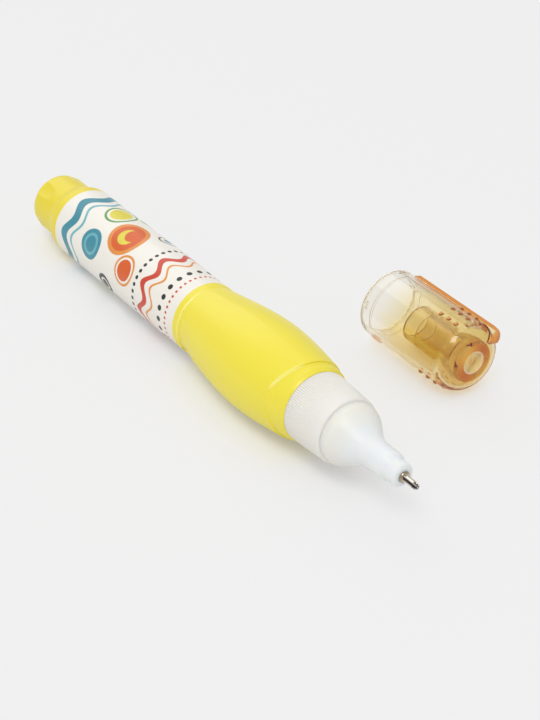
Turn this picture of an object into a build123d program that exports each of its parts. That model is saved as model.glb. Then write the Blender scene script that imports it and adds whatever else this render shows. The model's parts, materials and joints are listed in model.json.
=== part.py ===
"""A squeeze correction pen lying on a table, with its clear cap set down beside it."""
import math
import os

from build123d import *

# Lengths are millimetres. Stations run along the pen's axis from the tail end to the tip.
# Barrel, as moulded in one piece: tail, label seat, neck band, squeeze bulge and front crease
tail_length = 8.2
tail_step = 1.12
tail_edge_radius = 2.85
tail_shoulder_length = 3.8
barrel_radius = 7.12
barrel_wall = 1.1
label_margin = 1.2
label_length = 44.1
label_thickness = 0.1
waist_taper_length = 6.5
waist_taper_depth = 0.25
neck_band_length = 1.7
neck_band_drop = 0.12
neck_band_edge = 0.35
bulge_start_drop = 0.22
bulge_flank_length = 8.0
bulge_flank_height = 0.9
bulge_peak_length = 18.2
bulge_peak_height = 1.73
bulge_fall_length = 8.0
bulge_fall_height = 1.12
bulge_end_length = 13.2
bulge_end_height = 0.4
front_length = 1.9
front_lip = 0.1
lip_edge_length = 0.35
lip_edge_height = 0.2

# Thumb flats round the tail
scallop_count = 5
scallop_first_angle = -39.0
scallop_radius = 10.0
scallop_depth = 0.32
scallop_length = 4.3

# Leaf-shaped shoulders behind the squeeze bulge, and the crease in front of it
leaf_depth = 0.22
leaf_lap = 0.1
leaf_rise = 0.03
leaf_roll = -5.0
tongue_half_width = 4.97
tongue_flare_share = 0.436
crease_roll = 20.0
crease_setback = 0.3
crease_half_length = 2.9
crease_overreach = 0.98
crease_rear_length = 3.7
crease_rear_drop = 0.15
crease_front_drop = 0.27

# Threadless neck inside the collar, with one snap ring
neck_radius = 5.25
neck_wall = 1.2
neck_length = 6.5
snap_ring_setback = 2.5
snap_ring_height = 0.2
snap_ring_length = 1.2

# Ribbed collar
collar_length = 8.9
collar_rear_wall = 1.4
collar_front_wall = 0.97
collar_edge_radius = 0.4
collar_end_wall = 0.9
rib_count = 100
rib_depth = 0.08

# Gasket and nozzle cone
gasket_thickness = 0.6
plug_length = 4.8
bead_inset = 0.3
bead_height = 0.25
rim_inset = 0.54
rim_length = 1.4
rim_droop_share = 0.3
dome_length = 3.1
dome_radius = 4.88
cone_waist_length = 5.0
cone_waist_radius = 3.62
cone_length = 9.1
spout_radius = 2.62
spout_length = 2.4
spout_step_length = 1.4
stub_radius = 2.2
stub_length = 2.1
stub_edge_radius = 0.85
plug_wall = 0.75
nozzle_bore_reach = 2.8

# Metal tip, needle valve and its spring
tip_shank_radius = 0.9
tip_flange_radius = 1.04
tip_flange_rim = 0.2
tip_flange_height = 0.55
tip_flange_droop_share = 0.33
tip_tube_wall = 0.26
tip_bore_step = 0.06
tip_reach = 3.4
crimp_count = 4
crimp_length = 0.8
crimp_width = 0.42
crimp_depth = 0.2
needle_radius = 0.22
needle_reach = 0.25
needle_tail_length = 0.6
valve_disc_radius = 1.2
valve_disc_thickness = 0.35
wire_diameter = 0.26
spring_mean_radius = 0.86
spring_turns = 6
seat_flange_share = 0.75
seat_flange_thickness = 0.8
seat_plug_length = 2.0
seat_slot_count = 3
seat_slot_width = 0.6
seat_slot_share = 0.47

# Steel ball that stirs the fluid, lying at the rear end of the hollow
ball_radius = 3.0
ball_setback = 3.4

# Clear cap, with stations from its mouth to its closed end, and its place beside the pen
cap_mouth_place = 70.4
cap_side_place = 32.4
cap_wall = 0.9
cap_length = 24.4
cap_dome_radius = 3.2
cap_bore_draft = 0.2
cap_end_wall = 1.0
floor_corner_share = 0.95
pocket_station = 0.7
pocket_length = 0.4
pocket_depth = 0.14
pocket_width = 1.4
pocket_angles = (-70.0, 20.0, 110.0, 200.0)
snap_groove_station = 2.3
snap_groove_length = 0.5
snap_groove_depth = 0.12
seal_tube_start = 9.2
seal_tube_wall = 0.85
seal_tube_draft = 0.4
seal_bore_length = 3.0
seal_bore_floor = 2.2
dish_radius = 2.15
dish_depth = 0.6
rib_angle = 45.0
rib_start = 1.5
rib_rise_length = 1.3
rib_height = 0.65
rib_thickness = 0.9
rib_corner_setback = 0.8
rib_corner_drop = 2.2
rib_overhang = 1.3
rib_foot_radius = 4.2
lug_angle = 228.0
lug_length = 2.8
lug_height = 0.25
bump_radius = 0.5
bump_sink = 0.16
bump_setback = 3.8
bump_pitch = 2.05
bump_count = 3
bump_row_angles = (-11.5, 11.5, 30.0, 168.5, 191.5, 210.0, 233.0)

# Clearances between pieces, and one overrun for every cut
slip = 0.05
press_slip = 0.02
plug_clearance = 0.1
gasket_clearance = 0.2
needle_clearance = 0.08
disc_clearance = 0.25
seat_hole_clearance = 0.23
ball_clearance = 0.3
cap_clearance = 0.22
seal_clearance = 0.1
stub_clearance = 0.1
cut_overrun = 2.0

# Stations along the barrel, each from the one behind it
tail_shoulder_end = tail_length + tail_shoulder_length
label_start = tail_shoulder_end + label_margin
label_end = label_start + label_length
waist_start = label_end - waist_taper_length
bulge_start = label_end + neck_band_length
neck_band_end = bulge_start - neck_band_edge
bulge_flank_station = bulge_start + bulge_flank_length
bulge_peak_station = bulge_start + bulge_peak_length
bulge_fall_station = bulge_peak_station + bulge_fall_length
bulge_end = bulge_peak_station + bulge_end_length
barrel_front = bulge_end + front_length
lip_station = barrel_front - lip_edge_length

# Stations from the neck to the needle's end
neck_end = barrel_front + neck_length
snap_ring_start = barrel_front + snap_ring_setback
snap_ring_end = snap_ring_start + snap_ring_length
gasket_end = neck_end + gasket_thickness
collar_end = barrel_front + collar_length
collar_wall_start = collar_end - collar_end_wall
plug_start = neck_end - plug_length
rim_end = collar_end + rim_length
dome_station = collar_end + dome_length
cone_waist_station = collar_end + cone_waist_length
spout_start = collar_end + cone_length
spout_step_station = spout_start + spout_length
stub_start = spout_step_station + spout_step_length
nozzle_end = stub_start + stub_length
nozzle_bore_end = collar_end + nozzle_bore_reach
seat_front = nozzle_bore_end + seat_plug_length
needle_tail = seat_front - needle_tail_length
tip_end = nozzle_end + tip_reach
needle_end = tip_end + needle_reach
disc_front = spout_step_station - slip
disc_back = disc_front - valve_disc_thickness
spring_bore_end = spout_step_station

# Radii of the barrel
tail_radius = barrel_radius - tail_step
tail_face_radius = tail_radius - tail_edge_radius
recess_radius = barrel_radius - label_thickness
waist_radius = barrel_radius - waist_taper_depth
waist_recess_radius = waist_radius - label_thickness
neck_band_radius = barrel_radius - neck_band_drop
bulge_start_radius = barrel_radius - bulge_start_drop
groove_radius = bulge_start_radius - leaf_depth
bulge_flank_radius = barrel_radius + bulge_flank_height
bulge_peak_radius = barrel_radius + bulge_peak_height
bulge_fall_radius = barrel_radius + bulge_fall_height
bulge_end_radius = barrel_radius + bulge_end_height
crease_half_width = barrel_radius + crease_overreach

# Radii that follow from the piece they fit
neck_bore_radius = neck_radius - neck_wall
collar_rear_radius = neck_radius + collar_rear_wall
collar_front_radius = neck_radius + collar_front_wall
barrel_front_radius = collar_rear_radius + front_lip
lip_radius = barrel_front_radius + lip_edge_height
plug_radius = neck_bore_radius - plug_clearance
nozzle_bore_radius = plug_radius - plug_wall
bead_radius = neck_radius - bead_inset
stem_radius = bead_radius - bead_height
rim_radius = collar_front_radius - rim_inset
seat_flange_radius = seat_flange_share * nozzle_bore_radius
spring_bore_radius = valve_disc_radius + disc_clearance
seat_slot_depth = seat_slot_share * (seat_flange_radius - spring_bore_radius)
tip_mouth_radius = needle_radius + needle_clearance
tip_bore_radius = tip_mouth_radius + tip_bore_step
tip_tube_radius = tip_bore_radius + tip_tube_wall
cap_bore_radius = rim_radius + cap_clearance
cap_bore_end_radius = cap_bore_radius - cap_bore_draft
cap_radius = cap_bore_radius + cap_wall
seal_bore_radius = spout_radius + seal_clearance
seal_bore_inner_radius = stub_radius + stub_clearance
seal_tube_radius = seal_bore_radius + seal_tube_wall
seal_tube_root_radius = seal_tube_radius + seal_tube_draft
cap_floor_corner = floor_corner_share * (cap_bore_end_radius - seal_tube_root_radius)

# Stations inside the cap and along its rib and lug
cap_floor = cap_length - cap_end_wall
seal_bore_step = seal_tube_start + seal_bore_length
seal_bore_end = cap_floor - seal_bore_floor
snap_groove_end = snap_groove_station + snap_groove_length
pocket_end = pocket_station + pocket_length
rib_top_radius = cap_radius + rib_height
rib_corner_station = cap_length - rib_corner_setback
rib_foot_station = cap_length + rib_overhang
rib_root_station = cap_floor + slip
lug_middle = rib_start + lug_length / 2
lug_end = rib_start + lug_length
bump_start = cap_length - bump_setback - (bump_count - 1) * bump_pitch

# The pen rests on its bulge and on the rear end of the barrel, so its axis slopes up to the front
rest_run = bulge_peak_station - tail_shoulder_end
slope = math.atan2(bulge_peak_radius - barrel_radius, rest_run)
axis_vector = Vector(math.cos(slope), 0, math.sin(slope))
upward = Vector(-math.sin(slope), 0, math.cos(slope))
sideways = Vector(0, 1, 0)
tail_height = barrel_radius * math.cos(slope) - tail_shoulder_end * math.sin(slope)

# The cap rests on its mouth and on the first bumps of its lowest rows, so it slopes up to its closed end
bump_reach = cap_radius - bump_sink
bump_drops = [-bump_reach * math.cos(math.radians(angle)) for angle in bump_row_angles]
cap_slope = math.atan2(max(bump_drops) + bump_radius - cap_radius, bump_start)
cap_vector = Vector(math.cos(cap_slope), 0, math.sin(cap_slope))
cap_upward = Vector(-math.sin(cap_slope), 0, math.cos(cap_slope))
cap_height = cap_radius * math.cos(cap_slope)

# The frame's origin is under the middle of everything that lies on the table
bump_sides = [bump_reach * math.sin(math.radians(angle)) + bump_radius for angle in bump_row_angles]
least_x = -tail_face_radius * math.sin(slope)
greatest_x = needle_end * math.cos(slope)
least_y = -bulge_peak_radius
greatest_y = cap_side_place + max(cap_radius, *bump_sides)
middle_x = (least_x + greatest_x) / 2
middle_y = (least_y + greatest_y) / 2
tail_point = Vector(-middle_x, -middle_y, tail_height)
cap_point = Vector(cap_mouth_place - middle_x, cap_side_place - middle_y, cap_height)

pen_plane = Plane(origin=tail_point, x_dir=axis_vector, z_dir=-sideways)
pen_axis = Axis(tail_point, axis_vector)
cap_plane = Plane(origin=cap_point, x_dir=cap_vector, z_dir=-sideways)
cap_axis = Axis(cap_point, cap_vector)


def pen_section(station):
    """Plane square to the pen's axis at a station, with its X upward."""
    return Plane(origin=tail_point + axis_vector * station, x_dir=upward, z_dir=axis_vector)


def spoke_at(up, angle):
    """Direction square to an axis, at an angle from up toward the cap's side."""
    turn = math.radians(angle)
    return up * math.cos(turn) + sideways * math.sin(turn)


def rolled_plane(angle):
    """Plane that holds the pen's axis and faces a spoke at an angle from up."""
    return Plane(origin=tail_point, x_dir=axis_vector, z_dir=spoke_at(upward, angle))


def radial_plane(foot, along, spoke):
    """Plane holding an axis and one of its spokes, with its X along the axis."""
    return Plane(origin=foot, x_dir=along, z_dir=along.cross(spoke))


# Leaf-shaped shoulders: the skin behind the bulge, outside a tongue that widens to the front
leaf_start = bulge_start - leaf_lap
tongue_start = bulge_start - cut_overrun
tongue_end = bulge_flank_station + cut_overrun
tongue_start_width = tongue_half_width - cut_overrun * tongue_flare_share
tongue_end_width = tongue_half_width + (tongue_end - bulge_start) * tongue_flare_share
skin_reach = bulge_peak_radius + cut_overrun
with BuildPart() as leaf_cut:
    with BuildSketch(pen_plane):
        with BuildLine():
            Polyline(
                (leaf_start, groove_radius),
                (bulge_flank_station, bulge_flank_radius + leaf_rise),
                (bulge_flank_station, skin_reach),
                (leaf_start, skin_reach),
                close=True,
            )
        make_face()
    revolve(axis=pen_axis)
    with BuildSketch(rolled_plane(leaf_roll)):
        with BuildLine():
            Polyline(
                (tongue_start, tongue_start_width),
                (tongue_end, tongue_end_width),
                (tongue_end, -tongue_end_width),
                (tongue_start, -tongue_start_width),
                close=True,
            )
        make_face()
    extrude(amount=skin_reach, both=True, mode=Mode.SUBTRACT)

# Crease: the lower skin in front of the bulge, outside the bulge's rounded front end
crease_station = bulge_end - crease_setback
crease_centre = crease_station - crease_half_length
crease_start = bulge_end - crease_rear_length
crease_front = barrel_front + cut_overrun
with BuildPart() as crease_cut:
    with BuildSketch(pen_plane):
        with BuildLine():
            Polyline(
                (crease_start, bulge_fall_radius - crease_rear_drop),
                (bulge_end, bulge_end_radius - crease_front_drop),
                (crease_front, barrel_front_radius),
                (crease_front, skin_reach),
                (crease_start, skin_reach),
                close=True,
            )
        make_face()
    revolve(axis=pen_axis)
    with BuildSketch(rolled_plane(crease_roll)):
        with Locations((crease_centre, 0)):
            Ellipse(crease_half_length, crease_half_width)
        with Locations((crease_centre, 0)):
            Rectangle(
                bulge_peak_length,
                2 * skin_reach,
                align=(Align.MAX, Align.CENTER),
            )
    extrude(amount=skin_reach, both=True, mode=Mode.SUBTRACT)

# Barrel: tail, label seat, neck band, squeeze bulge, front neck and the hollow for the fluid
with BuildPart() as barrel:
    with BuildSketch(pen_plane):
        with BuildLine():
            Line((0, 0), (0, tail_face_radius))
            TangentArc((tail_edge_radius, tail_radius), (0, tail_face_radius), tangent=(-1, 0))
            Line((tail_edge_radius, tail_radius), (tail_length, tail_radius))
            Spline(
                (tail_length, tail_radius),
                (tail_shoulder_end, barrel_radius),
                tangents=((1, 0), (1, 0)),
            )
            Polyline(
                (tail_shoulder_end, barrel_radius),
                (label_start, barrel_radius),
                (label_start, recess_radius),
                (waist_start, recess_radius),
                (label_end, waist_recess_radius),
                (label_end, neck_band_radius),
                (neck_band_end, neck_band_radius),
            )
            TangentArc(
                (neck_band_end, neck_band_radius),
                (bulge_start, bulge_start_radius),
                tangent=(1, 0),
            )
            Spline(
                (bulge_start, bulge_start_radius),
                (bulge_flank_station, bulge_flank_radius),
                (bulge_peak_station, bulge_peak_radius),
                (bulge_fall_station, bulge_fall_radius),
                (bulge_end, bulge_end_radius),
            )
            Line((bulge_end, bulge_end_radius), (lip_station, lip_radius))
            TangentArc(
                (lip_station, lip_radius),
                (barrel_front, barrel_front_radius),
                tangent=(lip_station - bulge_end, lip_radius - bulge_end_radius),
            )
            Polyline(
                (barrel_front, barrel_front_radius),
                (barrel_front, neck_radius),
                (snap_ring_start, neck_radius),
                (snap_ring_start, neck_radius + snap_ring_height),
                (snap_ring_end, neck_radius),
                (neck_end, neck_radius),
                (neck_end, 0),
                (0, 0),
            )
        make_face()
    revolve(axis=pen_axis)
    add(leaf_cut.part, mode=Mode.SUBTRACT)
    add(crease_cut.part, mode=Mode.SUBTRACT)
    for index in range(scallop_count):
        scallop_angle = scallop_first_angle + index * 360 / scallop_count
        spoke = spoke_at(upward, scallop_angle)
        scallop_height = tail_radius - scallop_depth + scallop_radius
        with BuildSketch(radial_plane(tail_point, axis_vector, spoke)):
            with BuildLine():
                Polyline(
                    (scallop_length + scallop_radius, scallop_height),
                    (-cut_overrun, scallop_height),
                    (-cut_overrun, scallop_height - scallop_radius),
                    (scallop_length, scallop_height - scallop_radius),
                )
                CenterArc(
                    (scallop_length, scallop_height), scallop_radius, -90, 90
                )
            make_face()
        revolve(axis=Axis(tail_point + spoke * scallop_height, axis_vector), mode=Mode.SUBTRACT)
    with BuildSketch(pen_plane):
        with BuildLine():
            Polyline(
                (tail_shoulder_end, barrel_radius - barrel_wall),
                (tail_length, tail_radius - barrel_wall),
                (tail_edge_radius, tail_radius - barrel_wall),
                (barrel_wall, tail_face_radius - barrel_wall / 2),
                (barrel_wall, 0),
                (neck_end + cut_overrun, 0),
                (neck_end + cut_overrun, neck_bore_radius),
                (barrel_front - barrel_wall, neck_bore_radius),
                (bulge_end, bulge_end_radius - barrel_wall),
            )
            Spline(
                (bulge_end, bulge_end_radius - barrel_wall),
                (bulge_peak_station, bulge_peak_radius - barrel_wall),
                (bulge_start, barrel_radius - barrel_wall),
                tangents=((-1, 0), (-1, 0)),
            )
            Line(
                (bulge_start, barrel_radius - barrel_wall),
                (tail_shoulder_end, barrel_radius - barrel_wall),
            )
        make_face()
    revolve(axis=pen_axis, mode=Mode.SUBTRACT)
barrel.part.label = "barrel"

# Printed wrap that fills the barrel's shallow seat
with BuildPart() as wrap_label:
    with BuildSketch(pen_plane):
        with BuildLine():
            Polyline(
                (label_start, recess_radius + press_slip),
                (label_start, barrel_radius),
                (waist_start, barrel_radius),
                (label_end, waist_radius),
                (label_end, waist_recess_radius + press_slip),
                (waist_start, recess_radius + press_slip),
                close=True,
            )
        make_face()
    revolve(axis=pen_axis)
wrap_label.part.label = "wrap_label"

# Ball, on the low side of the hollow
ball_station = tail_shoulder_end + ball_setback
ball_drop = barrel_radius - barrel_wall - ball_clearance - ball_radius
with BuildPart() as mixing_ball:
    with BuildSketch(pen_plane):
        with BuildLine():
            CenterArc((ball_station, -ball_drop), ball_radius, 0, 180)
            Line((ball_station - ball_radius, -ball_drop), (ball_station + ball_radius, -ball_drop))
        make_face()
    revolve(axis=Axis(tail_point - upward * ball_drop, axis_vector))
mixing_ball.part.label = "mixing_ball"


def ribbed_outline(radius):
    """Corners of the collar's fine ribs: crests on a radius, with valleys between them."""
    corners = []
    for index in range(2 * rib_count):
        turn = math.pi * index / rib_count
        reach = radius - rib_depth * (index % 2)
        corners.append((reach * math.cos(turn), reach * math.sin(turn)))
    return corners


# Collar: fine ribs tapering to a rounded front edge, bored for the neck
with BuildPart() as ribbed_collar:
    with BuildSketch(pen_section(barrel_front)):
        with BuildLine():
            Polyline(*ribbed_outline(collar_rear_radius), close=True)
        make_face()
    with BuildSketch(pen_section(collar_end)):
        with BuildLine():
            Polyline(*ribbed_outline(collar_front_radius), close=True)
        make_face()
    loft(ruled=True)
    with BuildSketch(pen_plane):
        with BuildLine():
            collar_profile = FilletPolyline(
                (barrel_front, collar_rear_radius + slip),
                (collar_end, collar_front_radius - rib_depth),
                (collar_end, 0),
                radius=collar_edge_radius,
            )
            Polyline(
                collar_profile @ 1,
                (barrel_front, 0),
                collar_profile @ 0,
            )
        make_face()
    revolve(axis=pen_axis, mode=Mode.INTERSECT)
    with BuildSketch(pen_plane):
        with BuildLine():
            Polyline(
                (barrel_front - cut_overrun, 0),
                (barrel_front - cut_overrun, neck_radius + slip),
                (snap_ring_start - slip, neck_radius + slip),
                (snap_ring_start - slip, neck_radius + snap_ring_height + slip),
                (snap_ring_end + slip, neck_radius + slip),
                (collar_wall_start, neck_radius + slip),
                (collar_wall_start, stem_radius + slip),
                (collar_end + cut_overrun, stem_radius + slip),
                (collar_end + cut_overrun, 0),
                close=True,
            )
        make_face()
    revolve(axis=pen_axis, mode=Mode.SUBTRACT)
ribbed_collar.part.label = "ribbed_collar"

# Gasket between the neck's end and the nozzle's bead
with BuildPart() as neck_gasket:
    with BuildSketch(pen_section(neck_end)):
        Circle(neck_radius - slip)
        Circle(plug_radius + gasket_clearance, mode=Mode.SUBTRACT)
    extrude(amount=gasket_thickness)
neck_gasket.part.label = "neck_gasket"

# Nozzle cone: plug, snap bead, stem, rim, dome, waist, spout and stub, bored for the valve
with BuildPart() as nozzle_cone:
    with BuildSketch(pen_plane):
        with BuildLine():
            Polyline(
                (plug_start, 0),
                (plug_start, plug_radius),
                (gasket_end, plug_radius),
                (gasket_end, bead_radius),
                (collar_wall_start, bead_radius),
                (collar_wall_start, stem_radius),
                (collar_end, stem_radius),
                (collar_end, rim_radius),
                (rim_end, rim_radius),
            )
            Spline(
                (rim_end, rim_radius),
                (dome_station, dome_radius),
                (cone_waist_station, cone_waist_radius),
                (spout_start, spout_radius),
                tangents=((1, -rim_droop_share), (1, 0)),
            )
            Line((spout_start, spout_radius), (spout_step_station, spout_radius))
            Spline(
                (spout_step_station, spout_radius),
                (stub_start, stub_radius),
                tangents=((1, 0), (1, 0)),
            )
            stub = FilletPolyline(
                (stub_start, stub_radius),
                (nozzle_end, stub_radius),
                (nozzle_end, 0),
                radius=stub_edge_radius,
            )
            Line(stub @ 1, (plug_start, 0))
        make_face()
    revolve(axis=pen_axis)
    with BuildSketch(pen_plane):
        with BuildLine():
            Polyline(
                (plug_start - cut_overrun, 0),
                (plug_start - cut_overrun, nozzle_bore_radius),
                (nozzle_bore_end, nozzle_bore_radius),
                (nozzle_bore_end, spring_bore_radius),
                (spring_bore_end, spring_bore_radius),
                (spring_bore_end, tip_shank_radius + press_slip),
                (nozzle_end + cut_overrun, tip_shank_radius + press_slip),
                (nozzle_end + cut_overrun, 0),
                close=True,
            )
        make_face()
    revolve(axis=pen_axis, mode=Mode.SUBTRACT)
nozzle_cone.part.label = "nozzle_cone"

# Metal tip: shank in the nozzle, domed flange, tube and four crimps at its mouth
with BuildPart() as metal_tip:
    with BuildSketch(pen_plane):
        with BuildLine():
            Polyline(
                (spring_bore_end, tip_bore_radius),
                (spring_bore_end, tip_shank_radius),
                (nozzle_end, tip_shank_radius),
                (nozzle_end, tip_flange_radius),
                (nozzle_end + tip_flange_rim, tip_flange_radius),
            )
            TangentArc(
                (nozzle_end + tip_flange_rim, tip_flange_radius),
                (nozzle_end + tip_flange_height, tip_tube_radius),
                tangent=(1, -tip_flange_droop_share),
            )
            Polyline(
                (nozzle_end + tip_flange_height, tip_tube_radius),
                (tip_end - crimp_length, tip_tube_radius),
                (tip_end, tip_tube_radius - crimp_depth / 2),
                (tip_end, tip_mouth_radius),
                (tip_end - crimp_length, tip_bore_radius),
                (spring_bore_end, tip_bore_radius),
            )
        make_face()
    revolve(axis=pen_axis)
    for index in range(crimp_count):
        spoke = spoke_at(upward, index * 360 / crimp_count)
        with BuildSketch(radial_plane(tail_point, axis_vector, spoke)):
            with BuildLine():
                Polyline(
                    (tip_end - crimp_length, tip_tube_radius),
                    (tip_end - crimp_length / 2, tip_tube_radius - crimp_depth),
                    (tip_end + cut_overrun, tip_tube_radius - crimp_depth),
                    (tip_end + cut_overrun, tip_tube_radius),
                    close=True,
                )
            make_face()
        extrude(amount=crimp_width / 2, both=True, mode=Mode.SUBTRACT)
metal_tip.part.label = "metal_tip"

# Needle with a rounded end, and the disc that closes the tip from behind
with BuildPart() as valve_needle:
    with BuildSketch(pen_plane):
        with BuildLine():
            Polyline(
                (needle_tail, 0),
                (needle_tail, needle_radius),
                (disc_back, needle_radius),
                (disc_back, valve_disc_radius),
                (disc_front, valve_disc_radius),
                (disc_front, needle_radius),
                (needle_end - needle_radius, needle_radius),
            )
            CenterArc((needle_end - needle_radius, 0), needle_radius, 0, 90)
            Line((needle_end, 0), (needle_tail, 0))
        make_face()
    revolve(axis=pen_axis)
valve_needle.part.label = "valve_needle"

# Seat that the spring pushes against, slotted to let the fluid by
with BuildPart() as spring_seat:
    with BuildSketch(pen_section(nozzle_bore_end - seat_flange_thickness)):
        Circle(seat_flange_radius)
    extrude(amount=seat_flange_thickness)
    with BuildSketch(pen_section(nozzle_bore_end)):
        Circle(spring_bore_radius - press_slip)
    extrude(amount=seat_plug_length)
    with BuildSketch(pen_section(nozzle_bore_end - seat_flange_thickness)):
        Circle(needle_radius + seat_hole_clearance)
        with PolarLocations(spring_bore_radius, seat_slot_count):
            Rectangle(2 * seat_slot_depth, seat_slot_width)
    extrude(amount=seat_flange_thickness + seat_plug_length, mode=Mode.SUBTRACT)
spring_seat.part.label = "spring_seat"

# Spring: a round wire wound from the seat to the disc
spring_foot = seat_front + wire_diameter / 2
spring_rise = disc_back - seat_front - wire_diameter
spring_pitch = spring_rise / spring_turns
spring_gap = spring_pitch - wire_diameter
with BuildPart() as valve_spring:
    with BuildLine():
        coil = Helix(
            spring_pitch,
            spring_rise,
            spring_mean_radius,
            center=tail_point + axis_vector * spring_foot,
            direction=axis_vector,
        )
    with BuildSketch(Plane(origin=coil @ 0, z_dir=coil % 0)):
        Circle(wire_diameter / 2)
    sweep(path=coil)
valve_spring.part.label = "valve_spring"
print("spring's gap to itself", round(spring_gap, 2), "mm")

# Cap: shell, sealing tube, roll-stop rib, lug, grip bumps, snap groove, snap pockets and end dish
with BuildPart() as clear_cap:
    with BuildSketch(cap_plane):
        with BuildLine():
            shell = FilletPolyline(
                (0, cap_radius),
                (cap_length, cap_radius),
                (cap_length, 0),
                radius=cap_dome_radius,
            )
            Polyline(shell @ 1, (0, 0), shell @ 0)
        make_face()
    revolve(axis=cap_axis)
    with BuildSketch(radial_plane(cap_point, cap_vector, spoke_at(cap_upward, rib_angle))):
        with BuildLine():
            Polyline(
                (rib_root_station, rib_foot_radius),
                (rib_root_station, cap_bore_end_radius),
                (rib_start, cap_bore_radius + slip),
                (rib_start, cap_radius),
                (rib_start + rib_rise_length, rib_top_radius),
                (rib_corner_station, rib_top_radius),
            )
            TangentArc(
                (rib_corner_station, rib_top_radius),
                (rib_foot_station, rib_top_radius - rib_corner_drop),
                tangent=(1, 0),
            )
            Polyline(
                (rib_foot_station, rib_top_radius - rib_corner_drop),
                (cap_length, rib_foot_radius),
                (rib_root_station, rib_foot_radius),
            )
        make_face()
    extrude(amount=rib_thickness / 2, both=True)
    with BuildSketch(radial_plane(cap_point, cap_vector, spoke_at(cap_upward, lug_angle))):
        with BuildLine():
            ThreePointArc(
                (rib_start, cap_radius),
                (lug_middle, cap_radius + lug_height),
                (lug_end, cap_radius),
            )
            Polyline(
                (lug_end, cap_radius),
                (lug_end, cap_bore_radius + slip),
                (rib_start, cap_bore_radius + slip),
                (rib_start, cap_radius),
            )
        make_face()
    extrude(amount=rib_thickness / 2, both=True)
    for row_angle in bump_row_angles:
        spoke = spoke_at(cap_upward, row_angle)
        for index in range(bump_count):
            bump_station = bump_start + index * bump_pitch
            with BuildSketch(radial_plane(cap_point, cap_vector, spoke)):
                with BuildLine():
                    CenterArc((bump_station, bump_reach), bump_radius, 0, 180)
                    Line(
                        (bump_station - bump_radius, bump_reach),
                        (bump_station + bump_radius, bump_reach),
                    )
                make_face()
            revolve(axis=Axis(cap_point + spoke * bump_reach, cap_vector))
    with BuildSketch(cap_plane):
        with BuildLine():
            Polyline(
                (-cut_overrun, 0),
                (-cut_overrun, cap_bore_radius),
                (snap_groove_station, cap_bore_radius),
                (snap_groove_station, cap_bore_radius + snap_groove_depth),
                (snap_groove_end, cap_bore_radius + snap_groove_depth),
                (snap_groove_end, cap_bore_radius),
                (seal_tube_start, cap_bore_radius),
                (cap_floor - cap_floor_corner, cap_bore_end_radius),
            )
            CenterArc(
                (cap_floor - cap_floor_corner, cap_bore_end_radius - cap_floor_corner),
                cap_floor_corner,
                0,
                90,
            )
            Polyline(
                (cap_floor, cap_bore_end_radius - cap_floor_corner),
                (cap_floor, seal_tube_root_radius),
                (seal_tube_start, seal_tube_radius),
                (seal_tube_start, seal_bore_radius),
                (seal_bore_step, seal_bore_radius),
                (seal_bore_step, seal_bore_inner_radius),
                (seal_bore_end, seal_bore_inner_radius),
                (seal_bore_end, 0),
                (-cut_overrun, 0),
            )
        make_face()
    revolve(axis=cap_axis, mode=Mode.SUBTRACT)
    for pocket_angle in pocket_angles:
        with BuildSketch(radial_plane(cap_point, cap_vector, spoke_at(cap_upward, pocket_angle))):
            with BuildLine():
                Polyline(
                    (pocket_station, 0),
                    (pocket_station, cap_bore_radius + pocket_depth),
                    (pocket_end, cap_bore_radius + pocket_depth),
                    (pocket_end, 0),
                    close=True,
                )
            make_face()
        extrude(amount=pocket_width / 2, both=True, mode=Mode.SUBTRACT)
    with BuildSketch(cap_plane):
        with BuildLine():
            Polyline((cap_length, dish_radius), (cap_length, 0), (cap_length - dish_depth, 0))
            TangentArc(
                (cap_length - dish_depth, 0),
                (cap_length, dish_radius),
                tangent=(0, 1),
            )
        make_face()
    revolve(axis=cap_axis, mode=Mode.SUBTRACT)
clear_cap.part.label = "clear_cap"

pieces = (
    barrel,
    wrap_label,
    mixing_ball,
    ribbed_collar,
    neck_gasket,
    nozzle_cone,
    metal_tip,
    valve_needle,
    spring_seat,
    valve_spring,
    clear_cap,
)
os.makedirs("parts", exist_ok=True)
for piece in pieces:
    export_step(piece.part, "parts/" + piece.part.label + ".step")
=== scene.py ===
"""Looks of a squeeze correction pen that lies on a table beside its clear cap."""

import json
import logging
import math
from abc import ABC, abstractmethod
from dataclasses import dataclass
from enum import Enum
from functools import reduce
from typing import Any

import bpy
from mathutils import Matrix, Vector


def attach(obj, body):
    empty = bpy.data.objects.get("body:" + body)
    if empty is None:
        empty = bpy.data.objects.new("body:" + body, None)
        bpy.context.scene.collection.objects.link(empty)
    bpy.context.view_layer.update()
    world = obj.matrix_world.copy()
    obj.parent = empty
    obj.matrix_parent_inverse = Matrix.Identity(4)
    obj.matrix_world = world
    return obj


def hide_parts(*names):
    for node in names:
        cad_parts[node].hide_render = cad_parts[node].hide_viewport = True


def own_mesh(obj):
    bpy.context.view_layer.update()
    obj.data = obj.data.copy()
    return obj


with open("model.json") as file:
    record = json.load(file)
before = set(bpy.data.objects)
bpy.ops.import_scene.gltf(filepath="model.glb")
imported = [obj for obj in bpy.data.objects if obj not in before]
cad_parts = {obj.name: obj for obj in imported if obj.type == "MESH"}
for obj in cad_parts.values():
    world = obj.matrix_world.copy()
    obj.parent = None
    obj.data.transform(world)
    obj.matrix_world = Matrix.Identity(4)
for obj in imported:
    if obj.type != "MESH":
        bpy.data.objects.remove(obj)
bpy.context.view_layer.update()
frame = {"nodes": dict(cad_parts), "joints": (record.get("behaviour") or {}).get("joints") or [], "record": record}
LOG = logging.getLogger("correction_pen")
MM = 0.001
Triple = tuple[float, float, float]
Colour = Triple
Span = tuple[float, float]


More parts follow.
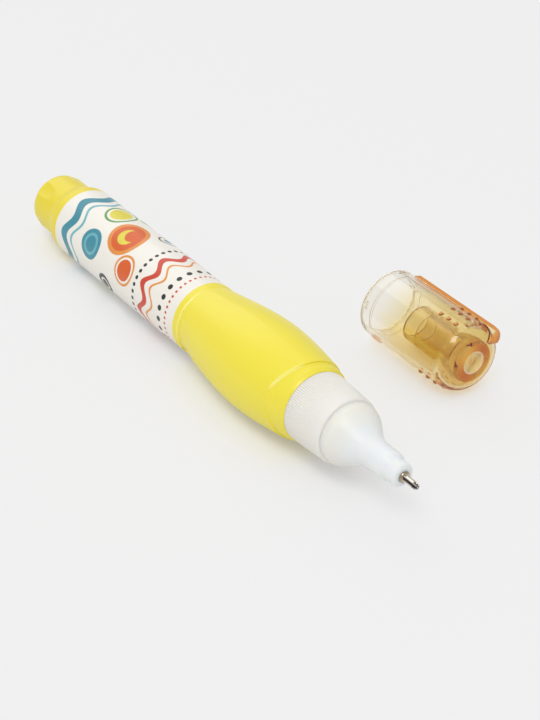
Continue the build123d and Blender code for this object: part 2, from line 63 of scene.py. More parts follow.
def linear(red: int, green: int, blue: int) -> Colour:
    """Turn a screen colour into the linear one that a shader takes.

    Args:
        red: Red level, 0 to 255.
        green: Green level, 0 to 255.
        blue: Blue level, 0 to 255.

    Returns:
        The three linear levels, 0 to 1.
    """
    levels = []
    for screen in (red, green, blue):
        level = screen / 255
        levels.append(level / 12.92 if level < 0.04045 else ((level + 0.055) / 1.055) ** 2.4)
    return tuple(levels)


def scaled(colour: Colour, share: float) -> Colour:
    """Darken a colour to a share of its levels."""
    return tuple(level * share for level in colour)


class Wire:
    """A shader socket that takes part in Python sums."""

    def __init__(self, shop: "Shop", socket: bpy.types.NodeSocket) -> None:
        """Keep the socket and the shop whose tree it is in."""
        self.shop = shop
        self.socket = socket

    def __add__(self, other: Any) -> "Wire":
        """Sum."""
        return self.shop.math("ADD", self, other)

    def __sub__(self, other: Any) -> "Wire":
        """Difference."""
        return self.shop.math("SUBTRACT", self, other)

    def __rsub__(self, other: Any) -> "Wire":
        """Difference, from a number."""
        return self.shop.math("SUBTRACT", other, self)

    def __mul__(self, other: Any) -> "Wire":
        """Product."""
        return self.shop.math("MULTIPLY", self, other)

    def __abs__(self) -> "Wire":
        """Size without sign."""
        return self.shop.math("ABSOLUTE", self)

    __radd__ = __add__
    __rmul__ = __mul__


class Shop:
    """One node tree, of a material or of the world, with a short way to add nodes."""

    def __init__(self, name: str, world: bool = False) -> None:
        """Make an empty material or world.

        Args:
            name: Its name.
            world: Whether it is a world.
        """
        self.block = (bpy.data.worlds if world else bpy.data.materials).new(name)
        self.block.use_nodes = True
        self.tree = self.block.node_tree
        self.tree.nodes.clear()

    def node(
        self,
        kind: str,
        settings: dict[str, Any] | None = None,
        out: int | str = 0,
        **values: Any,
    ) -> Wire:
        """Add any node.

        Args:
            kind: The node's type without its ShaderNode prefix.
            settings: Attributes that are set before the sockets.
            out: The output that is wanted.
            values: Socket names, with spaces as underscores, or places as i0, i1, and what feeds them.

        Returns:
            The wanted output.
        """
        node = self.tree.nodes.new("ShaderNode" + kind)
        for name, value in (settings or {}).items():
            setattr(node, name, value)
        for name, value in values.items():
            place = int(name[1:]) if name[0] == "i" and name[1:].isdigit() else name.replace("_", " ")
            self._feed(node.inputs[place], value)
        return Wire(self, node.outputs[out])

    def _feed(self, socket: bpy.types.NodeSocket, value: Any) -> None:
        """Link a wire to a socket, or set a plain value on it.

        Args:
            socket: The socket.
            value: A wire, a number, a vector or a colour.
        """
        if isinstance(value, Wire):
            self.tree.links.new(value.socket, socket)
        elif socket.type == "RGBA" and len(value) == 3:
            socket.default_value = (*value, 1.0)
        else:
            socket.default_value = value

    def math(self, operation: str, *values: Any, clamp: bool = False) -> Wire:
        """Add a Math node on up to three values."""
        sockets = {f"i{place}": value for place, value in enumerate(values)}
        return self.node("Math", {"operation": operation, "use_clamp": clamp}, **sockets)

    def least(self, first: Any, second: Any) -> Wire:
        """The smaller of two values."""
        return self.math("MINIMUM", first, second)

    def most(self, first: Any, second: Any) -> Wire:
        """The larger of two values."""
        return self.math("MAXIMUM", first, second)

    def root(self, value: Any) -> Wire:
        """Square root."""
        return self.math("SQRT", value)

    def cosine(self, angle: Any) -> Wire:
        """Cosine of an angle in radians."""
        return self.math("COSINE", angle)

    def ramp(self, value: Any, low: float, high: float) -> Wire:
        """Rise from 0 at one value to 1 at another."""
        return self.math("MULTIPLY", self.math("SUBTRACT", value, low), 1 / (high - low), clamp=True)

    def mix(self, factor: Any, first: Any, second: Any) -> Wire:
        """Mix two colours by a factor."""
        settings = {"data_type": "RGBA", "clamp_factor": True}
        return self.node("Mix", settings, out=2, i0=factor, i6=first, i7=second)

    def place(self) -> Wire:
        """Object coordinates."""
        return self.node("TexCoord", out="Object")

    def noise(self, place: Wire, scale: float, detail: float = 3.0) -> Wire:
        """Soft noise between 0 and 1 at a number of grains per metre."""
        return self.node("TexNoise", Vector=place, Scale=scale, Detail=detail)

    def ray(self, fact: str) -> Wire:
        """A fact about the ray that meets the surface."""
        return self.node("LightPath", out=fact)

    def deliver(self, surface: Wire, volume: Wire | None = None) -> Any:
        """Send a shader to the output and hand the material or world over.

        Args:
            surface: The surface's shader.
            volume: The shader of what is inside, if any.

        Returns:
            The material or world.
        """
        kind = "World" if isinstance(self.block, bpy.types.World) else "Material"
        output = self.tree.nodes.new("ShaderNodeOutput" + kind)
        self.tree.links.new(surface.socket, output.inputs["Surface"])
        if volume is not None:
            self.tree.links.new(volume.socket, output.inputs["Volume"])
        return self.block


@dataclass(frozen=True)
class Spot:
    """Where a point lies on a turned piece, as wires."""

    station: Wire
    radius: Wire
    angle: Wire

    def facing(self, side: float) -> Wire:
        """Cosine of the angle from a side, which is in degrees from up."""
        return self.angle.shop.cosine(self.angle - math.radians(side))


@dataclass(frozen=True)
class Spindle:
    """Axis of a turned piece, for finishes that follow its length and its round."""

    foot: Vector
    along: Vector

    @classmethod
    def of_mount(cls, name: str, station: float) -> "Spindle":
        """Take the axis from a mount whose station is known.

        Args:
            name: The mount's name.
            station: Millimetres from the axis's start to the mount.

        Returns:
            The axis.
        """
        mount = next(entry for entry in frame["record"]["mounts"] if entry["name"] == name)
        along = -Vector(mount["axis"])
        return cls(Vector(mount["pos_m"]) - along * station * MM, along)

    def measure(self, shop: Shop) -> Spot:
        """Add the nodes that give station, radius and angle.

        Args:
            shop: The tree.

        Returns:
            Station and radius in millimetres, and the angle in radians from up toward the cap's side.
        """
        arm = shop.node("VectorMath", {"operation": "SUBTRACT"}, i0=shop.place(), i1=self.foot)
        dot = {"operation": "DOT_PRODUCT"}

        def reach(direction: Vector) -> Wire:
            """Millimetres along a direction."""
            return shop.node("VectorMath", dot, out="Value", i0=arm, i1=direction) * (1 / MM)

        side = Vector((0, 1, 0))
        rise = reach(self.along.cross(side))
        swing = reach(side)
        radius = shop.root(rise * rise + swing * swing)
        return Spot(reach(self.along), radius, shop.math("ARCTAN2", swing, rise))


LABEL_GRIP_STATION = 31.4
CAP_MOUTH_STATION = 4.6
PEN = Spindle.of_mount("label_grip", LABEL_GRIP_STATION)
CAP = Spindle.of_mount("cap_mouth", CAP_MOUTH_STATION)


class Finish(ABC):
    """Look that a piece takes."""

    @abstractmethod
    def make(self) -> bpy.types.Material:
        """Build the material."""


@dataclass(frozen=True)
class Moulded(Finish):
    """Opaque moulded plastic, which can change its colour along the pen."""

    name: str
    colour: Colour
    roughness: float
    glow: float = 0.0
    rear_colour: Colour | None = None
    blend: Span = (0.0, 1.0)
    tint_share: float = 0.02
    cloud_scale: float = 90.0
    roughness_swing: float = 0.04
    glow_radius: Triple = (0.004, 0.003, 0.0015)
    glow_scale: float = 0.5

    def tint(self, shop: Shop, cloud: Wire) -> Wire:
        """Lay the colour over the piece.

        Args:
            shop: The tree.
            cloud: Soft noise between 0 and 1.

        Returns:
            The colour.
        """
        pale = tuple(level + (1 - level) * self.tint_share for level in self.colour)
        colour = shop.mix(cloud, scaled(self.colour, 1 - self.tint_share), pale)
        if self.rear_colour is None:
            return colour
        return shop.mix(shop.ramp(PEN.measure(shop).station, *self.blend), self.rear_colour, colour)

    def make(self) -> bpy.types.Material:
        """Build the finish.

        Returns:
            The material.
        """
        shop = Shop(self.name)
        cloud = shop.noise(shop.place(), self.cloud_scale)
        surface = shop.node(
            "BsdfPrincipled",
            Base_Color=self.tint(shop, cloud),
            Roughness=self.roughness + (cloud - 0.5) * self.roughness_swing,
            Subsurface_Weight=self.glow,
            Subsurface_Radius=self.glow_radius,
            Subsurface_Scale=self.glow_scale,
        )
        return shop.deliver(surface)


@dataclass(frozen=True)
class PaintedHighlightEdge:
    """Edge round the pen with a painted highlight on one side, in millimetres and degrees from up."""

    station: float
    side: float
    fade: Span
    width: float = 0.26
    core_share: float = 1 / 3

    def course(self, shop: Shop, spot: Spot) -> Any:
        """Station of the edge, which is the same all round."""
        return self.station

    def cover(self, shop: Shop, spot: Spot) -> Wire:
        """Tell how strongly the edge's painted highlight shows.

        Args:
            shop: The tree.
            spot: Where the point lies.

        Returns:
            A mask from 0 to 1.
        """
        away = abs(spot.station - self.course(shop, spot))
        line = shop.ramp(away, self.width, self.width * self.core_share)
        return line * shop.ramp(spot.facing(self.side), *self.fade)


@dataclass(frozen=True)
class PaintedHighlightCrease(PaintedHighlightEdge):
    """Edge that bows forward over the pen as one end of an ellipse."""

    reach: float = 0.0
    half_width: float = 1.0
    roll: float = 0.0

    def course(self, shop: Shop, spot: Spot) -> Any:
        """Work out the station of the edge at each place round the pen.

        Args:
            shop: The tree.
            spot: Where the point lies.

        Returns:
            The station.
        """
        swing = shop.math("SINE", spot.angle - math.radians(self.roll))
        across = spot.radius * swing * (1 / self.half_width)
        return shop.root(shop.most(1 - across * across, 0.0)) * self.reach + self.station


@dataclass(frozen=True)
class BottleYellow(Moulded):
    """Yellow bottle plastic, with painted highlights along some edges."""

    edges: tuple[PaintedHighlightEdge, ...] = ()
    # Colour of the painted highlight along the edges.
    edge_colour: Colour = linear(252, 243, 138)

    def tint(self, shop: Shop, cloud: Wire) -> Wire:
        """Lay the colour, with the painted edge highlights over it.

        Args:
            shop: The tree.
            cloud: Soft noise between 0 and 1.

        Returns:
            The colour.
        """
        spot = PEN.measure(shop)
        # Painted highlight: paler yellow along the edges, on the side that faces the light.
        cover = reduce(shop.most, [edge.cover(shop, spot) for edge in self.edges])
        return shop.mix(cover, super().tint(shop, cloud), self.edge_colour)


@dataclass(frozen=True)
class CollarWhite(Moulded):
    """Cream-white collar plastic, with painted shade between its ribs, which fades toward the nose."""

    rib_count: int = 1
    rib_run: Span = (0.0, 1.0)
    valley_colour: Colour = linear(220, 215, 206)

    def tint(self, shop: Shop, cloud: Wire) -> Wire:
        """Lay the colour, with painted shade in the valleys over it.

        Args:
            shop: The tree.
            cloud: Soft noise between 0 and 1.

        Returns:
            The colour.
        """
        spot = PEN.measure(shop)
        # Painted shade: darker between the ribs, fading toward the nose.
        valley = 0.5 - shop.cosine(spot.angle * self.rib_count) * 0.5
        cover = valley * shop.ramp(spot.station, *self.rib_run)
        return shop.mix(cover, super().tint(shop, cloud), self.valley_colour)


class Ink(Enum):
    """Inks of the label's print."""

    FILM = linear(243, 239, 230)
    ORANGE = linear(228, 98, 28)
    PEACH = linear(238, 152, 66)
    TEAL = linear(62, 148, 168)
    SKY = linear(112, 186, 198)
    GREEN = linear(96, 160, 62)
    LEMON = linear(236, 222, 66)
    RED = linear(216, 70, 42)
    BLACK = linear(38, 36, 38)
    BROWN = linear(112, 78, 66)


class Film:
    """Bare label film that motifs are printed on one after the other."""

    def __init__(self, shop: Shop, lap: float, grain: float) -> None:
        """Find the place on the film and lay its grain.

        Args:
            shop: The tree.
            lap: Millimetres round the pen after which the print repeats, half of its girth.
            grain: Grains of the ink per metre.
        """
        spot = PEN.measure(shop)
        self.shop = shop
        self.lap = lap
        self.station = spot.station
        self.arc = shop.math("WRAP", spot.angle * (lap / math.pi), lap / 2, -lap / 2)
        self.cloud = shop.noise(shop.place(), grain)

    def away(self, station: float, arc: float, stretch: float = 1.0, turn: float = 0.0) -> Wire:
        """Measure the distance from a point, with the first axis turned and stretched.

        Args:
            station: The point's place along the pen.
            arc: The point's place round the pen.
            stretch: How much longer the first axis is.
            turn: Radians that the first axis is turned by.

        Returns:
            The distance in millimetres.
        """
        across = self.station - station
        along = self.arc - arc
        first = across * (math.cos(turn) / stretch) + along * (math.sin(turn) / stretch)
        second = along * math.cos(turn) - across * math.sin(turn)
        return self.shop.root(first * first + second * second)


@dataclass(frozen=True)
class Motif(ABC):
    """One shape of the label's print, in millimetres along and round the pen."""

    ink: Ink
    station: float

    @abstractmethod
    def depth(self, film: Film) -> Wire:
        """Millimetres inside the shape's edge."""


@dataclass(frozen=True)
class Disc(Motif):
    """Disc, or an oval with a stretch and a turn."""

    arc: float
    radius: float
    stretch: float = 1.0
    turn: float = 0.0

    def depth(self, film: Film) -> Wire:
        """Millimetres inside the disc's edge."""
        return self.radius - film.away(self.station, self.arc, self.stretch, self.turn)


@dataclass(frozen=True)
class Ring(Motif):
    """Ring of an even width."""

    arc: float
    radius: float
    width: float

    def depth(self, film: Film) -> Wire:
        """Millimetres inside the ring's edges."""
        return self.width / 2 - abs(film.away(self.station, self.arc) - self.radius)


@dataclass(frozen=True)
class Crescent(Motif):
    """Disc with a bite out of it."""

    arc: float
    radius: float
    shift: float
    lift: float
    bite_share: float = 0.85

    def depth(self, film: Film) -> Wire:
        """Millimetres inside the disc's edge and outside the bite's."""
        bite = film.away(self.station + self.shift, self.arc + self.lift) - self.radius * self.bite_share
        return film.shop.least(self.radius - film.away(self.station, self.arc), bite)


@dataclass(frozen=True)
class Wave(Motif):
    """Wavy line round the pen."""

    swing: float
    count: int
    width: float

    def depth(self, film: Film) -> Wire:
        """Millimetres inside the line's edges."""
        course = film.shop.math("SINE", film.arc * (2 * math.pi * self.count / film.lap)) * self.swing
        return self.width / 2 - abs(film.station - (course + self.station))


@dataclass(frozen=True)
class Dots(Motif):
    """Row of dots round the pen."""

    count: int
    radius: float

    def depth(self, film: Film) -> Wire:
        """Find how far inside the nearest dot a place is.

        Args:
            film: The film.

        Returns:
            The depth in millimetres.
        """
        pitch = film.lap / self.count
        step = film.shop.math("WRAP", film.arc, pitch / 2, -pitch / 2)
        across = film.station - self.station
        return self.radius - film.shop.root(across * across + step * step)


@dataclass(frozen=True)
class LabelPrint(Finish):
    """Abstract print on the label: discs, rings, drops and waves in flat inks."""

    lap: float
    motifs: tuple[Motif, ...]
    name: str = "label_print"
    grain: float = 700.0
    film_shade: float = 0.97
    ink_shade: float = 0.8
    blur: float = 0.12
    roughness: float = 0.31
    roughness_swing: float = 0.06

    def make(self) -> bpy.types.Material:
        """Print every motif and build the finish.

        Returns:
            The material.
        """
        shop = Shop(self.name)
        film = Film(shop, self.lap, self.grain)
        colour = shop.mix(film.cloud, Ink.FILM.value, scaled(Ink.FILM.value, self.film_shade))
        for motif in self.motifs:
            cover = shop.ramp(motif.depth(film), -self.blur / 2, self.blur / 2)
            ink = motif.ink.value
            colour = shop.mix(cover, colour, shop.mix(film.cloud, scaled(ink, self.ink_shade), ink))
        surface = shop.node(
            "BsdfPrincipled",
            Base_Color=colour,
            Roughness=self.roughness + film.cloud * self.roughness_swing,
        )
        return shop.deliver(surface)


@dataclass(frozen=True)
class Steel(Finish):
    """Bright metal, with a painted dark reflection low on its side, painted shade in dark sectors at the crimped
    tip and a darker, browner colour at its root.
    """

    name: str
    colour: Colour = (0.80, 0.75, 0.66)
    stain: Colour = (0.42, 0.34, 0.25)
    streak: Colour = (0.05, 0.045, 0.04)
    roughness: float = 0.12
    roughness_swing: float = 0.1
    grain_scale: Triple = (800.0, 9000.0, 9000.0)
    grain_detail: float = 2.0
    grain_shade: float = 0.85
    streak_side: float = -62.0
    streak_fade: Span = (30.0, 14.0)
    stain_fade: Span = (116.9, 116.6)
    crimp_count: int = 4
    crimp_cosines: Span = (0.2, 0.6)
    crimp_fade: Span = (118.8, 118.95)

    def make(self) -> bpy.types.Material:
        """Build the finish.

        Returns:
            The material.
        """
        shop = Shop(self.name)
        drawn_out = shop.node("Mapping", Vector=shop.place(), Scale=self.grain_scale)
        grain = shop.noise(drawn_out, 1.0, self.grain_detail)
        spot = PEN.measure(shop)
        # Painted dark reflection: a dark band low on the metal's side.
        off_dark_reflection = abs(spot.angle - math.radians(self.streak_side))
        dark_reflection_mask = shop.ramp(off_dark_reflection, *(math.radians(degrees) for degrees in self.streak_fade))
        # Painted shade: dark sectors round the crimped tip.
        crimp_shade = shop.ramp(shop.cosine(spot.angle * self.crimp_count), *self.crimp_cosines)
        # Painted dark reflection and painted crimp shade together.
        dark = shop.most(dark_reflection_mask, crimp_shade * shop.ramp(spot.station, *self.crimp_fade))
        bright = shop.mix(grain, scaled(self.colour, self.grain_shade), self.colour)
        # Darker, browner colour toward the root.
        at_root = shop.ramp(spot.station, *self.stain_fade)
        surface = shop.node(
            "BsdfPrincipled",
            Base_Color=shop.mix(at_root, shop.mix(dark, bright, self.streak), self.stain),
            Metallic=1.0,
            Roughness=self.roughness + grain * self.roughness_swing,
        )
        return shop.deliver(surface)


@dataclass(frozen=True)
class CapPlaces:
    """Masks from 0 to 1 that tell the parts of the cap apart, and where light and shade are painted on it."""

    inward: Wire
    lip: Wire
    dish: Wire
    ring: Wire
    ring_edge: Wire
    ring_lobes: Wire
    proud: Wire
    rib: Wire


@dataclass(frozen=True)
class AmberClear(Finish):
    """Clear amber plastic: pale at the cap's mouth, yellow further in, orange where it is thick."""

    cap: "ClearCap"
    name: str = "amber_clear"
    mouth: Colour = (0.98, 0.98, 0.96)
    body: Colour = (0.905, 0.82, 0.52)
    deep: Colour = (0.83, 0.36, 0.07)
    mouth_haze: Colour = (0.85, 0.80, 0.66)
    thick_haze: Colour = (0.76, 0.34, 0.07)
    dish_haze: Colour = (0.88, 0.70, 0.27)
    dish_edge_haze: Colour = (0.95, 0.72, 0.44)
    ring_light_haze: Colour = (0.84, 0.44, 0.04)
    ring_deep_haze: Colour = (0.60, 0.135, 0.0)
    lip_haze: Colour = (0.97, 0.965, 0.93)
    haze_roughness: float = 0.12
    proud_share: float = 0.2
    rib_share: float = 0.4
    dish_share: float = 0.55
    ring_share: float = 0.6
    lip_share: float = 0.8
    ring_edge_share: float = 0.7
    long_path: float = 11.0
    shadow: Colour = (0.955, 0.94, 0.885)
    tint: Colour = (0.89, 0.59, 0.0)
    density: float = 110.0
    index: float = 1.49

    def _glass(self, shop: Shop, at: CapPlaces) -> Wire:
        """Build the clear plastic.

        Args:
            shop: The tree.
            at: The parts of the cap.

        Returns:
            The shader.
        """
        wall = shop.mix(at.inward, self.mouth, self.body)
        colour = shop.mix(at.proud, shop.mix(at.ring, wall, self.deep), self.deep)
        return shop.node(
            "BsdfPrincipled",
            Base_Color=colour,
            Roughness=0.0,
            IOR=self.index,
            Transmission_Weight=1.0,
        )

    def _haze(self, shop: Shop, at: CapPlaces) -> Wire:
        """Build the haze that stands for light caught in the plastic.

        Args:
            shop: The tree.
            at: The parts of the cap.

        Returns:
            The shader.
        """
        # Painted light and shade: the ring's haze is lighter in two lobes round the cap and darker between them.
        ring = shop.mix(at.ring_lobes, self.ring_deep_haze, self.ring_light_haze)
        colour = shop.mix(at.inward, self.mouth_haze, self.thick_haze)
        colour = shop.mix(at.dish, colour, self.dish_haze)
        colour = shop.mix(at.ring, colour, ring)
        # Painted highlight: a pale line round the dish's edge.
        colour = shop.mix(at.ring_edge, colour, self.dish_edge_haze)
        colour = shop.mix(at.lip, colour, self.lip_haze)
        colour = shop.mix(at.proud, colour, self.thick_haze)
        return shop.node("BsdfPrincipled", Base_Color=colour, Roughness=self.haze_roughness)

    def _haze_share(self, shop: Shop, at: CapPlaces) -> Wire:
        """Work out how much of the haze shows. Light that has come a long way is all haze.

        Args:
            shop: The tree.
            at: The parts of the cap.

        Returns:
            The share.
        """
        shares = (
            shop.math("GREATER_THAN", shop.ray("Ray Depth"), self.long_path),
            at.proud * (at.rib * self.rib_share + self.proud_share),
            at.dish * self.dish_share + at.ring * self.ring_share,
            at.lip * self.lip_share,
            at.ring_edge * self.ring_edge_share,
        )
        return reduce(shop.most, shares)

    def make(self) -> bpy.types.Material:
        """Build the finish.

        Returns:
            The material.
        """
        shop = Shop(self.name)
        at = self.cap.places(shop)
        share = self._haze_share(shop, at)
        cloudy = shop.node("MixShader", i0=share, i1=self._glass(shop, at), i2=self._haze(shop, at))
        clear = shop.node("BsdfTransparent", Color=self.shadow)
        surface = shop.node("MixShader", i0=shop.ray("Is Shadow Ray"), i1=cloudy, i2=clear)
        volume = shop.node("VolumeAbsorption", Color=self.tint, Density=self.density)
        return shop.deliver(surface, volume)


class Assembly(ABC):
    """Pieces of the pen that belong together."""

    def build(self) -> None:
        """Make the meshes that differ from the nodes, where there are any."""

    @abstractmethod
    def dress(self) -> None:
        """Give every piece its finish."""

    @staticmethod
    def paint(piece: bpy.types.Object, finish: Finish) -> None:
        """Give one piece its finish and report it.

        Args:
            piece: The piece.
            finish: Its finish.
        """
        piece.data.materials.clear()
        piece.data.materials.append(finish.make())
        LOG.info("dressed %s", piece.name)


@dataclass(frozen=True)
class SqueezeBottle(Assembly):
    """Bottle with its label and the ball in it, in millimetres from the tail."""

    tail_fade: Span = (6.0, 60.0)
    band_edge: float = 58.88
    crease_middle: float = 87.2
    crease_reach: float = 2.9
    crease_half_width: float = 8.1
    crease_roll: float = 20.0
    print_lap: float = 22.37

    def edges(self) -> tuple[PaintedHighlightEdge, ...]:
        """Name the edges that get painted highlights.

        Returns:
            The neck band's edge and the front crease.
        """
        # Painted highlights on the neck band's edge and on the front crease.
        band = PaintedHighlightEdge(self.band_edge, side=-60.0, fade=(0.4, 0.9))
        crease = PaintedHighlightCrease(
            self.crease_middle,
            side=-32.0,
            fade=(0.87, 0.96),
            reach=self.crease_reach,
            half_width=self.crease_half_width,
            roll=self.crease_roll,
        )
        return band, crease

    def motifs(self) -> tuple[Motif, ...]:
        """Set out the label's print, from the tail forward, the lower layers first.

        Returns:
            The motifs.
        """
        return (
            Wave(Ink.TEAL, 17.6, swing=0.9, count=3, width=2.2),
            Wave(Ink.SKY, 20.4, swing=0.9, count=3, width=0.7),
            Disc(Ink.TEAL, 26.4, arc=-7.6, radius=3.1),
            Ring(Ink.SKY, 26.4, arc=-7.6, radius=1.9, width=0.6),
            Disc(Ink.LEMON, 25.6, arc=1.4, radius=2.3),
            Ring(Ink.GREEN, 25.6, arc=1.4, radius=3.1, width=0.5),
            Disc(Ink.PEACH, 33.6, arc=-2.0, radius=4.4),
            Disc(Ink.ORANGE, 33.6, arc=-2.0, radius=3.5),
            Crescent(Ink.LEMON, 33.6, arc=-2.0, radius=2.1, shift=0.8, lift=0.9),
            Disc(Ink.BLACK, 32.4, arc=8.8, radius=2.2),
            Ring(Ink.FILM, 32.4, arc=8.8, radius=1.2, width=0.45),
            Disc(Ink.GREEN, 29.2, arc=5.6, radius=0.9, stretch=2.0, turn=0.6),
            Disc(Ink.ORANGE, 39.0, arc=-7.6, radius=2.1),
            Ring(Ink.PEACH, 39.0, arc=-7.6, radius=2.8, width=0.5),
            Ring(Ink.BROWN, 38.2, arc=4.4, radius=1.8, width=0.4),
            Disc(Ink.TEAL, 38.2, arc=4.4, radius=0.9),
            Dots(Ink.BLACK, 43.4, count=16, radius=0.4),
            Wave(Ink.RED, 46.6, swing=1.0, count=4, width=1.5),
            Wave(Ink.PEACH, 49.2, swing=1.0, count=4, width=0.6),
            Dots(Ink.BLACK, 52.6, count=10, radius=0.55),
            Dots(Ink.RED, 54.6, count=20, radius=0.28),
        )

    def dress(self) -> None:
        """Give the bottle, the label and the ball their finishes."""
        bottle = BottleYellow(
            "yellow_bottle",
            linear(243, 227, 60),
            roughness=0.33,
            rear_colour=linear(236, 216, 52),
            blend=self.tail_fade,
            edges=self.edges(),
        )
        self.paint(frame["nodes"]["barrel"], bottle)
        self.paint(frame["nodes"]["wrap_label"], LabelPrint(self.print_lap, self.motifs()))
        self.paint(frame["nodes"]["mixing_ball"], Steel("mixing_ball_steel"))


@dataclass(frozen=True)
class PouringNose(Assembly):
    """Collar, gasket, nose and metal tip, in millimetres from the tail."""

    rib_count: int = 100
    rib_run: Span = (101.2, 92.3)
    rim_fade: Span = (103.0, 106.5)

    def dress(self) -> None:
        """Give the collar, the gasket, the nose and the tip their finishes."""
        collar = CollarWhite(
            "collar_white",
            linear(240, 236, 229),
            roughness=0.45,
            glow=0.2,
            rib_count=self.rib_count,
            rib_run=self.rib_run,
        )
        nose = Moulded(
            "nose_white",
            linear(235, 238, 238),
            roughness=0.42,
            glow=0.35,
            rear_colour=linear(236, 234, 225),
            blend=self.rim_fade,
        )
        gasket = Moulded("gasket_rubber", linear(190, 190, 184), roughness=0.7)
        self.paint(frame["nodes"]["ribbed_collar"], collar)
        self.paint(frame["nodes"]["neck_gasket"], gasket)
        self.paint(frame["nodes"]["nozzle_cone"], nose)
        self.paint(frame["nodes"]["metal_tip"], Steel("tip_steel"))


@dataclass
class NeedleValve(Assembly):
    """Needle, spring and seat in the nose."""

    spring_node: str = "valve_spring"
    joint: str = "needle_press"
    merge: float = 1e-7
    coil: bpy.types.Object | None = None

    def build(self) -> None:
        """Copy the spring's coil, merge its doubled corners, hang it on the pen and hide the spring node."""
        coil = bpy.data.objects.new("spring_coil", frame["nodes"][self.spring_node].data.copy())
        bpy.context.scene.collection.objects.link(coil)
        bpy.ops.object.select_all(action="DESELECT")
        coil.select_set(True)
        bpy.context.view_layer.objects.active = coil
        bpy.ops.object.mode_set(mode="EDIT")
        bpy.ops.mesh.select_all(action="SELECT")
        bpy.ops.mesh.remove_doubles(threshold=self.merge)
        bpy.ops.object.mode_set(mode="OBJECT")
        stations = [(corner.co - PEN.foot).dot(PEN.along) for corner in coil.data.vertices]
        rear = min(stations)
        front = max(stations)
        joint = next(entry for entry in frame["joints"] if entry["name"] == self.joint)
        travel = max(joint["range_m"])
        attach(coil, "pen")
        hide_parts(self.spring_node)
        1 - travel / (front - rear)
        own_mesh(coil)
        LOG.info("built %s", coil.name)
        self.coil = coil

    def dress(self) -> None:
        """Give the needle, the spring and the seat their finishes."""
        seat = Moulded("seat_plastic", linear(220, 220, 214), roughness=0.5)
        self.paint(frame["nodes"]["valve_needle"], Steel("valve_needle_steel"))
        self.paint(self.coil, Steel("valve_spring_steel"))
        self.paint(frame["nodes"]["spring_seat"], seat)


@dataclass(frozen=True)
class ClearCap(Assembly):
    """Cap beside the pen, in millimetres from its mouth and its axis and degrees from up."""

    lip_fade: Span = (0.3, 0.2)
    inward_fade: Span = (4.0, 10.0)
    skin_radius: float = 6.84
    skin_fade: float = 0.06
    end_station: float = 24.35
    end_fade: Span = (-0.7, -0.4)
    past_end_fade: Span = (0.1, 0.2)
    ring_radii: Span = (2.1, 3.7)
    ring_fade: float = 0.1
    ring_edge_fade: Span = (0.24, 0.12)
    ring_lobe_count: int = 2
    ring_turn: float = -42.0
    rib_angle: float = 45.0
    rib_fade: Span = (8.0, 6.0)

    def places(self, shop: Shop) -> CapPlaces:
        """Tell the parts of the cap apart.

        Args:
            shop: The tree.

        Returns:
            A mask for each part.
        """
        spot = CAP.measure(shop)
        inner, outer = self.ring_radii
        at_end = shop.ramp(spot.station, *(self.end_station + step for step in self.end_fade))
        past_end = shop.ramp(spot.station, *(self.end_station + step for step in self.past_end_fade))
        past_skin = shop.ramp(spot.radius, self.skin_radius, self.skin_radius + self.skin_fade)
        past_inner = shop.ramp(spot.radius, inner, inner + self.ring_fade)
        inside_outer = shop.ramp(spot.radius, outer + self.ring_fade, outer)
        # Lobes where the ring's haze is painted lighter.
        lobes = shop.cosine((spot.angle - math.radians(self.ring_turn)) * self.ring_lobe_count)
        off_rib = abs(spot.angle - math.radians(self.rib_angle))
        return CapPlaces(
            inward=shop.ramp(spot.station, *self.inward_fade),
            lip=shop.ramp(spot.station, *self.lip_fade),
            dish=at_end * shop.ramp(spot.radius, inner + self.ring_fade, inner),
            ring=at_end * past_inner * inside_outer,
            # Painted highlight round the dish's edge.
            ring_edge=at_end * shop.ramp(abs(spot.radius - inner), *self.ring_edge_fade),
            ring_lobes=lobes * 0.5 + 0.5,
            proud=shop.most(past_skin, past_end),
            rib=shop.ramp(off_rib, *(math.radians(degrees) for degrees in self.rib_fade)),
        )

    def dress(self) -> None:
        """Give the cap its finish."""
        self.paint(frame["nodes"]["clear_cap"], AmberClear(self))


@dataclass(frozen=True)
class PhotoCamera:
    """Camera at the photograph's place, in the model's frame."""

    place: Vector = Vector((0.22096, -0.15281, 0.17854))
    forward: Vector = Vector((-0.68227, 0.46400, -0.56499))
    lens: float = 85.69
    sensor_width: float = 36.0
    nearest: float = 0.01

    def set_up(self) -> None:
        """Make the camera and look through it."""
        data = bpy.data.cameras.new("photo_camera")
        data.lens = self.lens
        data.sensor_width = self.sensor_width
        data.sensor_fit = "AUTO"
        data.clip_start = self.nearest
        camera = bpy.data.objects.new("photo_camera", data)
        camera.location = self.place
        camera.rotation_euler = self.forward.to_track_quat("-Z", "Y").to_euler()
        bpy.context.scene.collection.objects.link(camera)
        bpy.context.scene.camera = camera


@dataclass(frozen=True)
class Softbox:
    """Square lamp that faces the object."""

    name: str
    toward: Vector
    distance: float
    size: float
    power: float

    def set_up(self) -> None:
        """Make the lamp."""
        data = bpy.data.lights.new(self.name, "AREA")
        data.shape = "SQUARE"
        data.size = self.size
        data.energy = self.power
        lamp = bpy.data.objects.new(self.name, data)
        lamp.location = self.toward.normalized() * self.distance
        lamp.rotation_euler = (-self.toward).to_track_quat("-Z", "Y").to_euler()
        bpy.context.scene.collection.objects.link(lamp)


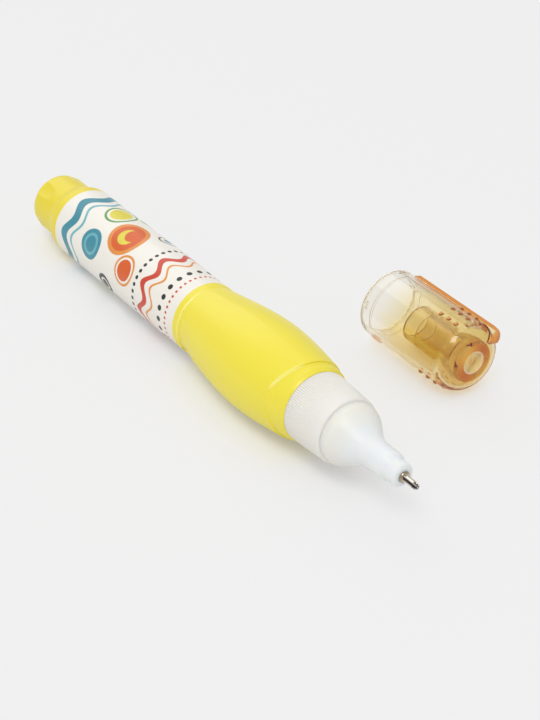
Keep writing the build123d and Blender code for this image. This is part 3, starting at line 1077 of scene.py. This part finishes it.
@dataclass(frozen=True)
class Studio:
    """Pale table, a room that is dim near the horizon, and soft light."""

    paper: Colour = linear(239, 239, 239)
    paper_roughness: float = 0.8
    paper_shine: float = 0.1
    table_size: float = 6.0
    glow_shares: Span = (0.25, 0.72)
    crevice: float = 0.02
    crevice_fade: Span = (0.25, 0.75)
    horizon: float = 0.55
    ceiling: float = 0.66
    sky_fade: Span = (0.05, 0.5)
    bounces: int = 32
    lamps: tuple[Softbox, ...] = (
        Softbox("front_softbox", Vector((0.28, -0.37, 0.88)), distance=1.3, size=0.5, power=5.8),
        Softbox("back_softbox", Vector((-0.78, 0.1, 0.6)), distance=1.5, size=1.2, power=3.8),
    )

    def _paper(self) -> bpy.types.Material:
        """Build the table's paper, which glows to the camera away from what stands on it.

        Returns:
            The material.
        """
        shop = Shop("table_paper")
        matt = shop.node(
            "BsdfPrincipled",
            Base_Color=self.paper,
            Roughness=self.paper_roughness,
            Specular_IOR_Level=self.paper_shine,
        )
        glow = shop.node("Emission", Color=self.paper)
        near, far = self.glow_shares
        open_sky = shop.node("AmbientOcclusion", out="AO", Distance=self.crevice)
        share = shop.ramp(open_sky, *self.crevice_fade) * (far - near) + near
        seen = shop.most(shop.ray("Is Camera Ray"), shop.ray("Is Transmission Ray"))
        return shop.deliver(shop.node("MixShader", i0=seen * share, i1=matt, i2=glow))

    def _lay_table(self) -> None:
        """Make the table."""
        bpy.ops.object.select_all(action="DESELECT")
        bpy.ops.mesh.primitive_plane_add(size=self.table_size)
        table = bpy.context.object
        table.name = "table"
        table.data.materials.append(self._paper())

    def _raise_sky(self) -> None:
        """Make the room's light."""
        sky = Shop("studio", world=True)
        height = sky.node("SeparateXYZ", out="Z", Vector=sky.node("TexCoord", out="Generated"))
        levels = ((level, level, level) for level in (self.horizon, self.ceiling))
        colour = sky.mix(sky.ramp(height, *self.sky_fade), *levels)
        bpy.context.scene.world = sky.deliver(sky.node("Background", Color=colour))

    def set_up(self) -> None:
        """Make the table, the room and the lamps, and let light run far enough through the cap."""
        scene = bpy.context.scene
        scene.view_settings.view_transform = "Standard"
        scene.cycles.max_bounces = self.bounces
        scene.cycles.transmission_bounces = self.bounces
        scene.cycles.glossy_bounces = self.bounces
        self._lay_table()
        self._raise_sky()
        for lamp in self.lamps:
            lamp.set_up()


def main() -> None:
    """Build and dress the sub-assemblies in order, then set up the scene."""
    logging.basicConfig(level=logging.INFO)
    for assembly in (SqueezeBottle(), PouringNose(), NeedleValve(), ClearCap()):
        assembly.build()
        assembly.dress()
    PhotoCamera().set_up()
    Studio().set_up()


if __name__ == "__main__":
    main()
